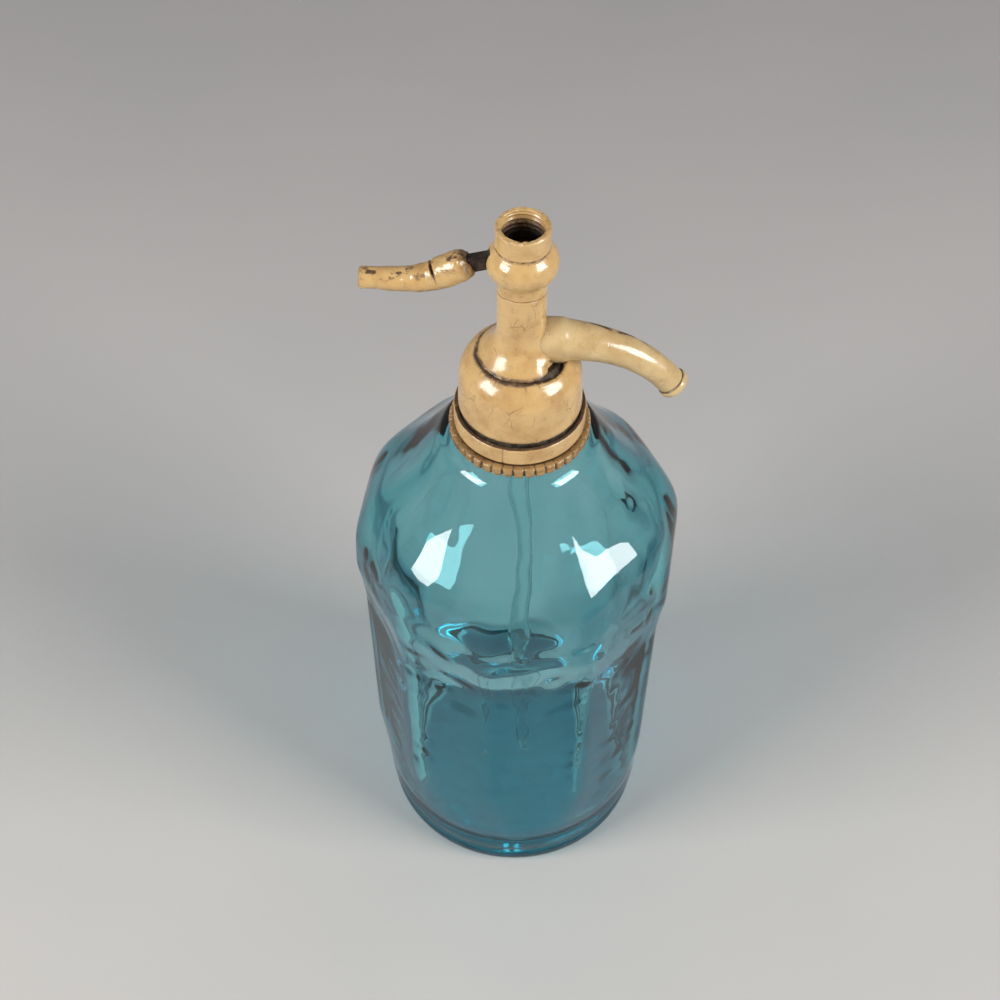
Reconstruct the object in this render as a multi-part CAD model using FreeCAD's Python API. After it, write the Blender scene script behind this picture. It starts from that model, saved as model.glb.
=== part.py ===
import FreeCAD, Part
import math
import os

V = FreeCAD.Vector

# Soda siphon: a ten-sided glass bottle with a moulded head over a cast metal core.
# Millimetres, +Z up. The origin is the centre of the foot, on the surface it stands on.
# The spout points along +X and the lever along -X.

# Bottle, outside
panel_count = 10
panel_apothem = 52.0
panel_lean = 2.0
panel_turn = -80.0
ridge_z = 139.0
ledge_proud = 2.2
ledge_rise = 8.0
# Middle of the ledge's round, as shares of how far it stands out and rises
ledge_mid_out = 0.7
ledge_mid_up = 0.3
shoulder_straight = 9.78
dome_round = 33.0
dome_slope = 33.5
throat_apothem = 26.3
crown_r = 22.3
crown_drop = 1.5
heel_r = 51.2
heel_top_z = 25.0
heel_groove_z = 11.0
heel_groove = 1.0
heel_round = 6.0
corner_fade = 8.0
foot_lift = 5.0
foot_width = 6.0

# Bottle, inside
glass_wall = 4.6
floor_z = 9.0
neck_r = 15.5
neck_bore_r = 10.5
throat_in_rise = 1.0
neck_length = 18.6
lip_proud = 1.4
lip_length = 5.0
lip_edge = 0.5

# Split collar that grips the neck
collar_gap = 0.6
collar_clear = 0.3
collar_thread_r = 18.65
collar_flange_r = 23.8
collar_flange_thick = 3.8
collar_split = 0.5
lip_clear = 0.2
notch_count = 40
notch_depth = 1.0
notch_width = 1.5

# Fits
fixed_fit = 0.05
running_fit = 0.05
slide_fit = 0.06
crown_fit = 0.2
# How far a cutting tool runs past the face that it opens
over = 1.0
# Points closer than this are one point
same_point = 1e-6

# Head core
skirt_wall = 1.5
skirt_gap = 0.4
lip_chamber_clear = 0.5
gasket_thick = 2.0
spigot_r = 7.0
spigot_length = 6.0
core_deck = 4.0
core_side_r = 18.9
core_side_z = 5.0
core_round = 10.0
core_crown_r = 12.2
column_r = 6.8
chamber_r = 5.4
upper_bore_r = 5.95
upper_bore_length = 15.6

# Moulded covers
band_height = 6.6
band_rise = 0.8
band_r = 22.05
groove_height = 1.8
bell_wall = 1.25
bell_foot_flare = 0.4
bell_side_height = 12.1
bell_round = 11.5
flare_r = 14.5
flare_lip = 0.5
flare_height = 11.8
flare_gap = 0.3
neck_cover_r = 7.9
seam_gap = 0.1
neck_cover_height = 14.8
housing_height = 19.5
bulge_r = 11.3
bulge_rise = 5.6
bulge_height = 13.6
housing_top_r = 8.9
mouth_r = 8.6
mouth_bore_r = 6.8
mouth_height = 7.4

# Lever
pivot_x = -8.0
pivot_drop = 6.3
pin_r = 1.1
pin_length = 10.4
lever_half_width = 1.7
lever_boss_r = 3.0
lever_tip_r = 1.5
lever_neck_half = 1.0
lever_bar_half = 2.4
lever_tang_half = 1.4
slot_clear = 0.4
slot_height = 12.2
slot_above = 3.5
block_r = 9.9
block_height = 8.3
block_drop = 2.9
core_top_r = 7.6
# Lever stations from the pivot: along X, along Z, radius of the grip there
grip_stations = [
    (-8.3, -1.6, 3.3),
    (-10.4, -2.8, 4.0),
    (-14.7, -5.3, 4.1),
    (-20.0, -7.8, 3.9),
    (-25.5, -9.1, 3.6),
    (-31.0, -9.5, 3.4),
    (-37.0, -9.0, 3.1),
    (-40.8, -8.7, 2.8),
]
tang_stations = (1, 3, 5)

# Dip tube
tube_r = 3.6
tube_bore_r = 2.2
tube_head_r = 4.9
tube_head_thick = 2.6
tube_foot_gap = 5.0
washer_thick = 1.4
ferrule_r = 9.2
ferrule_web = 2.5
ferrule_height = 8.0
ferrule_hole_clear = 0.3

# Valve and plunger
channel_r = 2.4
seat_thick = 2.0
rubber_r = 4.0
rubber_thick = 2.4
valve_plate_r = 4.2
valve_plate_thick = 2.5
rod_r = 2.2
valve_screw_r = 1.6
valve_screw_depth = 1.8
piston_z = 22.0
piston_thick = 5.0
seal_thick = 2.0
seal_root_r = 3.2
upper_rod_r = 2.5
retainer_thick = 3.0
retainer_hole_clear = 0.4
driver_half_width = 0.6
driver_depth = 1.0
stirrup_r = 5.2
stirrup_rise = 2.0
stirrup_height = 7.4
stirrup_socket = 2.2
stirrup_pocket = 2.2
stirrup_throat = 1.6
tip_clear = 0.1
stroke_room = 3.6

# Return spring
spring_wire_r = 0.5
spring_mean_r = 4.2
spring_turns = 6
spring_end_gap = 0.3

# Spout
spout_rise = 17.3
spout_bend_x = 13.6
spout_bend_r = 43.0
spout_bend = 50.0
spout_straight = 3.6
spout_pipe_r = 3.3
nozzle_r = 5.4
nozzle_length = 3.0
nozzle_round = 1.1
# Turn along the bend in degrees, radius of the cover there
spout_stations = [(0.0, 6.5), (13.0, 6.1), (24.0, 5.5), (36.0, 5.1), (50.0, 4.8)]


def outline(start, *steps):
    """Closed face in the XZ plane. A step is an end point, or (point on an arc, end point)."""
    def at(p):
        return V(p[0], 0, p[1])
    edges = []
    here = start
    for step in list(steps) + [start]:
        if isinstance(step[0], tuple):
            edges.append(Part.Arc(at(here), at(step[0]), at(step[1])).toShape())
            here = step[1]
        elif math.dist(here, step) > same_point:
            edges.append(Part.LineSegment(at(here), at(step)).toShape())
            here = step
    return Part.Face(Part.Wire(edges))


def turned(start, *steps):
    return outline(start, *steps).revolve(V(0, 0, 0), V(0, 0, 1), 360)


def disc(r, z0, z1):
    return Part.makeCylinder(r, z1 - z0, V(0, 0, z0))


def ring(r_out, r_in, z0, z1):
    return disc(r_out, z0, z1).cut(disc(r_in, z0 - over, z1 + over))


def slab(x0, x1, half_y, z0, z1):
    return Part.makeBox(x1 - x0, 2 * half_y, z1 - z0, V(x0, -half_y, z0))


def on_arc(cx, cz, r, degrees):
    a = math.radians(degrees)
    return (cx + r * math.cos(a), cz + r * math.sin(a))


# Heights that follow from the sizes above
ridge_apothem = panel_apothem + panel_lean
ledge_apothem = ridge_apothem + ledge_proud
ledge_z = ridge_z + ledge_rise
dome_z = ledge_z + shoulder_straight
dome_cx = ledge_apothem - dome_round
cone_r, cone_z = on_arc(dome_cx, dome_z, dome_round, dome_slope)
throat_z = cone_z + (cone_r - throat_apothem) / math.tan(math.radians(dome_slope))
crown_z = throat_z + crown_drop
glass_top_z = crown_z + neck_length
lip_z = glass_top_z - lip_edge - lip_length
collar_z = crown_z + collar_gap
collar_top_z = lip_z - lip_clear
flange_top_z = collar_z + collar_flange_thick
skirt_z = flange_top_z + skirt_gap
thread_bore_r = collar_thread_r + fixed_fit
skirt_r = thread_bore_r + skirt_wall
band_z = skirt_z + band_rise
band_top_z = band_z + band_height
bell_z = band_top_z + groove_height
gasket_top_z = glass_top_z + gasket_thick
chamber_z = gasket_top_z + core_deck
core_round_z = gasket_top_z + core_side_z
core_round_cx = core_side_r - core_round
core_crown_z = core_round_z + math.sqrt(core_round ** 2 - (core_crown_r - core_round_cx) ** 2)
bell_side_r = core_side_r + fixed_fit + bell_wall
bell_round_z = bell_z + bell_side_height
bell_round_cx = bell_side_r - bell_round
bell_top_z = bell_round_z + math.sqrt(bell_round ** 2 - (flare_r - bell_round_cx) ** 2)
flare_z = bell_top_z + flare_gap
flare_top_z = flare_z + flare_lip + flare_height
neck_cover_top_z = flare_top_z + neck_cover_height
housing_z = neck_cover_top_z + seam_gap
mouth_z = housing_z + housing_height
mouth_top_z = mouth_z + mouth_height
upper_bore_z = mouth_z - upper_bore_length
spout_z = chamber_z + spout_rise
pivot_z = mouth_z - pivot_drop
slot_z = pivot_z + slot_above - slot_height
seat_top_z = chamber_z + seat_thick
spigot_z = gasket_top_z - spigot_length
tube_top_z = spigot_z + tube_head_thick
washer_top_z = tube_top_z + washer_thick
rubber_z = seat_top_z + running_fit
plate_z = rubber_z + rubber_thick
piston_low_z = seat_top_z + piston_z
piston_top_z = piston_low_z + piston_thick
retainer_top_z = upper_bore_z + retainer_thick
stirrup_z = retainer_top_z + stirrup_rise
rod_top_z = stirrup_z + stirrup_socket


def ten_sided(steps_from_axis):
    """Solid whose walls are panels with one upright outline, met at upright corners."""
    reach = 2 * ledge_apothem
    face = outline(*steps_from_axis)
    wall = face.extrude(V(0, 2 * reach, 0))
    wall.translate(V(0, -reach, 0))
    solid = None
    for k in range(panel_count // 2):
        turn = wall.copy()
        turn.rotate(V(0, 0, 0), V(0, 0, 1), panel_turn + 360.0 / panel_count * k)
        solid = turn if solid is None else solid.common(turn)
    return solid


def panel_outline():
    """Right and left halves of the body, ledge, shoulder and dome."""
    ledge_mid = (ridge_apothem + ledge_mid_out * ledge_proud, ridge_z + ledge_mid_up * ledge_rise)
    dome_mid = on_arc(dome_cx, dome_z, dome_round, dome_slope / 2)
    low_z = heel_top_z - 2 * heel_groove
    right = [
        (panel_apothem, low_z),
        (ridge_apothem, ridge_z),
        (ledge_mid, (ledge_apothem, ledge_z)),
        (ledge_apothem, dome_z),
        (dome_mid, (cone_r, cone_z)),
        (throat_apothem, throat_z),
        (crown_r, crown_z),
    ]
    left = [
        (-crown_r, crown_z),
        (-throat_apothem, throat_z),
        (-cone_r, cone_z),
        ((-dome_mid[0], dome_mid[1]), (-ledge_apothem, dome_z)),
        (-ledge_apothem, ledge_z),
        ((-ledge_mid[0], ledge_mid[1]), (-ridge_apothem, ridge_z)),
        (-panel_apothem, low_z),
    ]
    return right + left


def corner_limit():
    """Round envelope that fades the panel corners into the heel."""
    reach = 2 * ledge_apothem
    return turned(
        (0, 0),
        (heel_r + heel_groove, 0),
        (heel_r + heel_groove, heel_top_z),
        (heel_r + 3 * heel_groove, heel_top_z + corner_fade),
        (reach, heel_top_z + 2 * corner_fade),
        (reach, glass_top_z),
        (0, glass_top_z),
    )


def heel():
    """Round foot of the bottle with a shallow groove above the lower bead."""
    low_r = heel_r - heel_groove
    bend = on_arc(low_r - heel_round, heel_round, heel_round, -45)
    return turned(
        (0, 0),
        (low_r - heel_round, 0),
        (bend, (low_r, heel_round)),
        (low_r, heel_groove_z - heel_groove),
        (low_r - heel_groove, heel_groove_z),
        (heel_r, heel_groove_z + 2 * heel_groove),
        (heel_r, heel_top_z - heel_groove),
        (panel_apothem, heel_top_z + heel_groove),
        (0, heel_top_z + heel_groove),
    )


def neck():
    lip_r = neck_r + lip_proud
    return turned(
        (0, crown_z - crown_drop),
        (neck_r, crown_z - crown_drop),
        (neck_r, lip_z),
        (lip_r, lip_z + lip_proud),
        (lip_r, lip_z + lip_length),
        (lip_r - lip_edge, glass_top_z),
        (0, glass_top_z),
    )


def water_space():
    inner_r = heel_r - heel_groove - glass_wall
    shoulder_r = ledge_apothem - glass_wall
    dome_r = dome_round - glass_wall
    mid = on_arc(dome_cx, dome_z, dome_r, dome_slope / 2)
    top_r, top_z = on_arc(dome_cx, dome_z, dome_r, dome_slope)
    throat_in_z = crown_z - glass_wall
    throat_in_r = top_r - (throat_in_z - top_z) * math.tan(math.radians(dome_slope))
    floor_round = 2 * heel_round
    bend = on_arc(inner_r - floor_round, floor_z + floor_round, floor_round, -45)
    return turned(
        (0, floor_z),
        (inner_r - floor_round, floor_z),
        (bend, (inner_r, floor_z + floor_round)),
        (ridge_apothem - glass_wall, ridge_z),
        (shoulder_r, ledge_z),
        (shoulder_r, dome_z),
        (mid, (top_r, top_z)),
        (throat_in_r, throat_in_z),
        (neck_bore_r, throat_in_z + throat_in_rise),
        (neck_bore_r, glass_top_z + over),
        (0, glass_top_z + over),
    )


def foot_recess():
    ring_r = heel_r - heel_groove - heel_round - foot_width
    arch_r = (ring_r ** 2 + foot_lift ** 2) / (2 * foot_lift)
    mid_r = ring_r / 2
    mid_z = foot_lift - arch_r + math.sqrt(arch_r ** 2 - mid_r ** 2)
    return turned((0, -over), (ring_r, -over), (ring_r, 0), ((mid_r, mid_z), (0, foot_lift)))


def glass_bottle():
    body = ten_sided(panel_outline()).common(corner_limit())
    solid = body.fuse([heel(), neck()])
    return solid.cut(water_space()).cut(foot_recess()).removeSplitter()


def dip_tube():
    low_z = floor_z + tube_foot_gap
    solid = disc(tube_r, low_z, tube_top_z).fuse(disc(tube_head_r, spigot_z, tube_top_z))
    return solid.cut(disc(tube_bore_r, low_z - over, tube_top_z + over)).removeSplitter()


def tube_ferrule():
    low_z = spigot_z - ferrule_web
    cup = disc(ferrule_r, low_z, low_z + ferrule_height)
    cup = cup.cut(disc(spigot_r + fixed_fit, spigot_z, low_z + ferrule_height + over))
    return cup.cut(disc(tube_r + ferrule_hole_clear, low_z - over, spigot_z + over))


def tube_washer():
    return ring(tube_head_r, channel_r, tube_top_z, washer_top_z)


def neck_gasket():
    return ring(neck_r + lip_proud, neck_bore_r + fixed_fit, glass_top_z, gasket_top_z)


def collar():
    """Both halves of the threaded ring under the glass lip, with its notched flange."""
    solid = disc(collar_flange_r, collar_z, flange_top_z)
    solid = solid.fuse(disc(collar_thread_r, collar_z, collar_top_z))
    solid = solid.cut(disc(neck_r + collar_clear, collar_z - over, collar_top_z + over))
    tools = []
    for k in range(notch_count):
        x0 = collar_flange_r - notch_depth
        tool = slab(x0, x0 + 2 * notch_depth, notch_width / 2, collar_z - over, flange_top_z + over)
        tool.rotate(V(0, 0, 0), V(0, 0, 1), 360.0 * (k + 0.5) / notch_count)
        tools.append(tool)
    return solid.cut(Part.makeCompound(tools))


def collar_half(side):
    reach = 2 * collar_flange_r
    keep = Part.makeBox(2 * reach, reach, reach, V(-reach, 0, collar_z - over))
    keep.translate(V(0, collar_split / 2, 0))
    if side < 0:
        keep.rotate(V(0, 0, 0), V(0, 0, 1), 180)
    return collar().common(keep)


def lever_slot():
    return slab(-2 * bulge_r, 0, lever_half_width + slot_clear, slot_z, slot_z + slot_height)


def pin_bore(clear):
    half = pin_length / 2
    return Part.makeCylinder(pin_r + clear, 2 * half, V(pivot_x, -half, pivot_z), V(0, 1, 0))


def head_core():
    """Cast metal body: skirt, deck, valve chamber, column and lever block."""
    crown_mid_x = (core_side_r + core_crown_r) / 2
    crown_mid = (crown_mid_x, core_round_z + math.sqrt(core_round ** 2 - (crown_mid_x - core_round_cx) ** 2))
    block_top_z = mouth_z - block_drop
    block_z = block_top_z - block_height
    solid = turned(
        (0, spigot_z),
        (spigot_r, spigot_z),
        (spigot_r, gasket_top_z),
        (neck_r + lip_proud + lip_chamber_clear, gasket_top_z),
        (neck_r + lip_proud + lip_chamber_clear, collar_top_z + lip_clear / 2),
        (thread_bore_r, collar_top_z + lip_clear / 2),
        (thread_bore_r, skirt_z),
        (skirt_r, skirt_z),
        (skirt_r, bell_z - fixed_fit),
        (core_side_r, bell_z - fixed_fit),
        (core_side_r, core_round_z),
        (crown_mid, (core_crown_r, core_crown_z)),
        (column_r, core_crown_z),
        (column_r, block_z),
        (block_r, block_z),
        (block_r, block_top_z),
        (core_top_r, block_top_z),
        (core_top_r, mouth_z),
        (0, mouth_z),
    )
    solid = solid.cut(disc(tube_head_r + fixed_fit, spigot_z - over, washer_top_z))
    solid = solid.cut(disc(channel_r, spigot_z, chamber_z + over))
    solid = solid.cut(disc(chamber_r, chamber_z, upper_bore_z + over))
    solid = solid.cut(disc(upper_bore_r, upper_bore_z, mouth_z + over))
    pipe_seat = Part.makeCylinder(spout_pipe_r + fixed_fit, spout_bend_x, V(0, 0, spout_z), V(1, 0, 0))
    solid = solid.cut(pipe_seat)
    solid = solid.cut(lever_slot())
    return solid.cut(pin_bore(0)).removeSplitter()


def valve_seat():
    return ring(chamber_r - fixed_fit, channel_r, chamber_z, seat_top_z)


def collar_band():
    return ring(band_r, skirt_r + fixed_fit, band_z, band_top_z)


def bell_shell():
    inner_r = core_side_r + fixed_fit
    hole_r = core_crown_r + crown_fit
    out_x = (bell_side_r + flare_r) / 2
    out_mid = (out_x, bell_round_z + math.sqrt(bell_round ** 2 - (out_x - bell_round_cx) ** 2))
    in_round = core_round + fixed_fit
    in_z = core_round_z + math.sqrt(in_round ** 2 - (hole_r - core_round_cx) ** 2)
    in_x = (inner_r + hole_r) / 2
    in_mid = (in_x, core_round_z + math.sqrt(in_round ** 2 - (in_x - core_round_cx) ** 2))
    return turned(
        (inner_r, bell_z),
        (bell_side_r + bell_foot_flare, bell_z),
        (bell_side_r, bell_round_z),
        (out_mid, (flare_r, bell_top_z)),
        (hole_r, bell_top_z),
        (hole_r, in_z),
        (in_mid, (inner_r, core_round_z)),
    )


def neck_cover():
    """Flared cover of the column, seated on the crown of the core inside the bell."""
    inner_r = column_r + fixed_fit
    step = flare_r - neck_cover_r
    bend_r = (step ** 2 + flare_height ** 2) / (2 * step)
    bend_cx = neck_cover_r + bend_r
    foot_turn = math.degrees(math.asin(flare_height / bend_r))
    mid = on_arc(bend_cx, flare_top_z, bend_r, 180 + foot_turn / 2)
    solid = turned(
        (inner_r, core_crown_z),
        (core_crown_r, core_crown_z),
        (core_crown_r, flare_z),
        (flare_r, flare_z),
        (flare_r, flare_z + flare_lip),
        (mid, (neck_cover_r, flare_top_z)),
        (neck_cover_r, neck_cover_top_z),
        (inner_r, neck_cover_top_z),
    )
    hole = Part.makeCylinder(spout_pipe_r + fixed_fit, 2 * flare_r, V(0, 0, spout_z), V(1, 0, 0))
    return solid.cut(hole)


def lever_housing():
    """Upper cover with the round bulge over the lever block, slotted for the lever."""
    inner_r = column_r + fixed_fit
    block_top_z = mouth_z - block_drop + fixed_fit
    block_z = mouth_z - block_drop - block_height - fixed_fit
    bulge_z = housing_z + bulge_rise
    solid = turned(
        (inner_r, housing_z),
        (neck_cover_r, housing_z),
        (neck_cover_r, bulge_z),
        ((bulge_r, bulge_z + bulge_height / 2), (housing_top_r, bulge_z + bulge_height)),
        (housing_top_r, mouth_z),
        (core_top_r + fixed_fit, mouth_z),
        (core_top_r + fixed_fit, block_top_z),
        (block_r + fixed_fit, block_top_z),
        (block_r + fixed_fit, block_z),
        (inner_r, block_z),
    )
    return solid.cut(lever_slot()).cut(pin_bore(fixed_fit))


def mouth_ring():
    return ring(mouth_r, mouth_bore_r, mouth_z, mouth_top_z)


def at_station(x, z, dx, dz, r):
    return Part.Wire(Part.makeCircle(r, V(x, 0, z), V(dx, 0, dz)))


def bend_point(degrees):
    """Centre line of the spout at a turn along its bend, and its direction there."""
    a = math.radians(degrees)
    x = spout_bend_x + spout_bend_r * math.sin(a)
    z = spout_z - spout_bend_r * (1 - math.cos(a))
    return x, z, math.cos(a), -math.sin(a)


def spout_run(r, x0, end_length):
    """Round bar of one radius along the spout's centre line."""
    start = Part.makeCylinder(r, spout_bend_x - x0, V(x0, 0, spout_z), V(1, 0, 0))
    face = Part.Face(at_station(spout_bend_x, spout_z, 1, 0, r))
    bend = face.revolve(V(spout_bend_x, 0, spout_z - spout_bend_r), V(0, 1, 0), spout_bend)
    x, z, dx, dz = bend_point(spout_bend)
    end = Part.makeCylinder(r, end_length, V(x, 0, z), V(dx, 0, dz))
    return start.fuse([bend, end]).removeSplitter()


def spout_pipe():
    full = spout_straight + nozzle_length
    pipe = spout_run(spout_pipe_r, chamber_r, full)
    bore = spout_run(channel_r, 0, full + over)
    return pipe.cut(bore).cut(disc(chamber_r + fixed_fit, chamber_z, upper_bore_z))


def spout_cover():
    wires = [at_station(column_r, spout_z, 1, 0, spout_stations[0][1])]
    for turn, r in spout_stations:
        x, z, dx, dz = bend_point(turn)
        wires.append(at_station(x, z, dx, dz, r))
    x, z, dx, dz = bend_point(spout_bend)
    end_r = spout_stations[-1][1]
    wires.append(at_station(x + spout_straight * dx, z + spout_straight * dz, dx, dz, end_r))
    solid = Part.makeLoft(wires, True, False)
    neck_fill = neck_cover().fuse(disc(column_r + over, core_crown_z, neck_cover_top_z))
    bell_fill = disc(core_side_r, core_round_z, core_crown_z)
    solid = solid.cut(neck_fill).cut(bell_fill).cut(bell_shell())
    solid = solid.cut(spout_run(spout_pipe_r + fixed_fit, 0, spout_straight + nozzle_length))
    return max(solid.Solids, key=lambda s: s.Volume)


def spout_nozzle():
    """Rounded lip at the outlet, sleeved over the end of the pipe."""
    x, z, dx, dz = bend_point(spout_bend)
    start = V(x + spout_straight * dx, 0, z + spout_straight * dz)
    solid = Part.makeCylinder(nozzle_r, nozzle_length, start, V(dx, 0, dz))
    rims = [e for e in solid.Edges if len(e.Vertexes) == 1]
    solid = solid.makeFillet(nozzle_round, rims)
    return solid.cut(spout_run(spout_pipe_r + fixed_fit, 0, spout_straight + nozzle_length + over))


def valve_rubber():
    return ring(rubber_r, valve_screw_r, rubber_z, plate_z)


def valve_screw():
    """Flat-ended screw that holds the rubber to the plunger plate."""
    return disc(valve_screw_r - fixed_fit, rubber_z + tip_clear, plate_z + valve_screw_depth)


def plunger():
    seal_z = piston_low_z + (piston_thick - seal_thick) / 2
    piston_r = chamber_r - slide_fit
    solid = disc(valve_plate_r, plate_z, plate_z + valve_plate_thick)
    solid = solid.fuse(disc(rod_r, plate_z, piston_low_z))
    solid = solid.fuse(disc(piston_r, piston_low_z, piston_top_z))
    solid = solid.fuse(disc(upper_rod_r, piston_top_z, rod_top_z))
    solid = solid.cut(ring(chamber_r, seal_root_r, seal_z, seal_z + seal_thick))
    return solid.cut(disc(valve_screw_r, plate_z - over, plate_z + valve_screw_depth)).removeSplitter()


def piston_seal():
    seal_z = piston_low_z + (piston_thick - seal_thick) / 2
    return ring(chamber_r - slide_fit / 2, seal_root_r, seal_z, seal_z + seal_thick)


def spring():
    low_z = piston_top_z + spring_wire_r + spring_end_gap
    high_z = upper_bore_z - spring_wire_r - spring_end_gap
    helix = Part.makeHelix((high_z - low_z) / spring_turns, high_z - low_z, spring_mean_r)
    circle = Part.makeCircle(spring_wire_r, V(spring_mean_r, 0, 0), V(0, 1, 0))
    coil = Part.Wire(helix.Edges).makePipeShell([Part.Wire(circle)], True, True)
    coil = Part.Solid(coil) if coil.ShapeType != "Solid" else coil
    coil.translate(V(0, 0, low_z))
    return coil


def spring_retainer():
    solid = ring(upper_bore_r - fixed_fit, upper_rod_r + retainer_hole_clear, upper_bore_z, retainer_top_z)
    driver_z = retainer_top_z - driver_depth
    driver = slab(-upper_bore_r, upper_bore_r, driver_half_width, driver_z, retainer_top_z + over)
    return solid.cut(driver)


def lift_stirrup():
    """Guided head on the plunger rod; its side pocket takes the lever's inner tip."""
    tip_half = lever_tip_r + tip_clear
    solid = disc(stirrup_r, stirrup_z, stirrup_z + stirrup_height)
    solid = solid.cut(disc(upper_rod_r, stirrup_z - over, rod_top_z))
    half = lever_half_width + slot_clear / 2
    pocket = slab(-2 * stirrup_r, stirrup_pocket, half, pivot_z - tip_half, pivot_z + tip_half)
    throat = slab(-2 * stirrup_r, -stirrup_throat, half, pivot_z - stroke_room, pivot_z + tip_half)
    return solid.cut(pocket).cut(throat)


def bar(x0, z0, half0, x1, z1, half1):
    """Flat bar between two centres, as thick as the lever, with round joints."""
    length = math.hypot(x1 - x0, z1 - z0)
    nx, nz = -(z1 - z0) / length, (x1 - x0) / length
    corners = [
        V(x0 + nx * half0, -lever_half_width, z0 + nz * half0),
        V(x1 + nx * half1, -lever_half_width, z1 + nz * half1),
        V(x1 - nx * half1, -lever_half_width, z1 - nz * half1),
        V(x0 - nx * half0, -lever_half_width, z0 - nz * half0),
    ]
    face = Part.Face(Part.makePolygon(corners + corners[:1]))
    return face.extrude(V(0, 2 * lever_half_width, 0))


def cross_disc(x, z, r):
    return Part.makeCylinder(r, 2 * lever_half_width, V(x, -lever_half_width, z), V(0, 1, 0))


def lever_core():
    """Steel lever: round inner tip, pivot eye, arm and the tang inside the grip."""
    nodes = [(pivot_x, pivot_z, lever_bar_half)]
    for k in tang_stations:
        x, z, r = grip_stations[k]
        half = lever_bar_half if k == tang_stations[0] else lever_tang_half
        nodes.append((pivot_x + x, pivot_z + z, half))
    solid = cross_disc(pivot_x, pivot_z, lever_boss_r)
    pieces = [cross_disc(0, pivot_z, lever_tip_r)]
    pieces.append(bar(pivot_x, pivot_z, lever_tip_r, 0, pivot_z, lever_neck_half))
    for (x0, z0, h0), (x1, z1, h1) in zip(nodes, nodes[1:]):
        pieces.append(bar(x0, z0, h0, x1, z1, h1))
        pieces.append(cross_disc(x1, z1, h1))
    solid = solid.fuse(pieces).removeSplitter()
    return solid.cut(pin_bore(running_fit))


def lever_grip():
    places = [(pivot_x + x, pivot_z + z, r) for x, z, r in grip_stations]
    wires = []
    for k, (x, z, r) in enumerate(places):
        ax, az = places[max(k - 1, 0)][:2]
        bx, bz = places[min(k + 1, len(places) - 1)][:2]
        wires.append(at_station(x, z, bx - ax, bz - az, r))
    return Part.makeLoft(wires, True, False).cut(lever_core())


def lever_pin():
    return pin_bore(0)


pieces = {
    "glass_bottle": glass_bottle(),
    "dip_tube": dip_tube(),
    "tube_ferrule": tube_ferrule(),
    "tube_washer": tube_washer(),
    "neck_gasket": neck_gasket(),
    "collar_half_front": collar_half(-1),
    "collar_half_back": collar_half(1),
    "head_core": head_core(),
    "valve_seat": valve_seat(),
    "collar_band": collar_band(),
    "bell_shell": bell_shell(),
    "neck_cover": neck_cover(),
    "lever_housing": lever_housing(),
    "mouth_ring": mouth_ring(),
    "spout_pipe": spout_pipe(),
    "spout_cover": spout_cover(),
    "spout_nozzle": spout_nozzle(),
    "valve_rubber": valve_rubber(),
    "valve_screw": valve_screw(),
    "plunger": plunger(),
    "piston_seal": piston_seal(),
    "spring": spring(),
    "spring_retainer": spring_retainer(),
    "lift_stirrup": lift_stirrup(),
    "lever_core": lever_core(),
    "lever_grip": lever_grip(),
    "lever_pin": lever_pin(),
}

os.makedirs("parts", exist_ok=True)
for node, shape in pieces.items():
    box = shape.BoundBox
    print(node, shape.ShapeType, len(shape.Solids), shape.isValid(), round(shape.Volume, 1),
          [round(v, 2) for v in (box.XMin, box.XMax, box.YMin, box.YMax, box.ZMin, box.ZMax)])
    shape.exportStep("parts/" + node + ".step")
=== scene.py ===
import bpy
import math
import numpy as np
from mathutils import Matrix, Vector, noise


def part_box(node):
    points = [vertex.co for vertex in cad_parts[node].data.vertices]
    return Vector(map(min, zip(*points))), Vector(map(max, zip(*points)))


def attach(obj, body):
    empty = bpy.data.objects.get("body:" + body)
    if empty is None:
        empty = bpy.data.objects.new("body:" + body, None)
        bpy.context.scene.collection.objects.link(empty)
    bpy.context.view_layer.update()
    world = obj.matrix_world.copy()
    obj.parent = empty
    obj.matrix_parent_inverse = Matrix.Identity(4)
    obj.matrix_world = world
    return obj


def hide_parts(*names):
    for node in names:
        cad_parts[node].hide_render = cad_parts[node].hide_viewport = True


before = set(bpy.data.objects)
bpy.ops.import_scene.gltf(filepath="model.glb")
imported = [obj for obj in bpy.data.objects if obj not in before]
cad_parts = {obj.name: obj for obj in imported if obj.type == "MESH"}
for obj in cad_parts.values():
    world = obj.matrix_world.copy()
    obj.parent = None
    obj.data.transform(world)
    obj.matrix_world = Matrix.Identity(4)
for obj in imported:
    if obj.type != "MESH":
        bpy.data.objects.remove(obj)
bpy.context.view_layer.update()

# Lengths are millimetres in the frame of the CAD model. Those of the lamps and the floor, the subsurface
# radius and the density of the glass go by the metre.
# Turns go about the Z axis from +X. The side that the photograph shows is at -90 degrees.
MM = 0.001

# Camera, as solved from the rings and corners that the photograph shows
FRAME_PX = 1000
FOCAL_PX = 1848
CAM_PLACE = (0, -411.5, 680)
CAM_PITCH = 50.9
CAM_YAW = 0.89
CAM_ROLL = 0.40
SENSOR = 36.0

# Lamps, world and floor
LAMP_AIM = (0, 0, 0.2)
LAMP_DISTANCE = 1.3
LAMP_SIZE = 0.64
LAMP_POWER = 19
WORLD_COLOUR = (0.62, 0.63, 0.64, 1)
WORLD_STRENGTH = 0.42
FLOOR_HALF = 4.0

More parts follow.
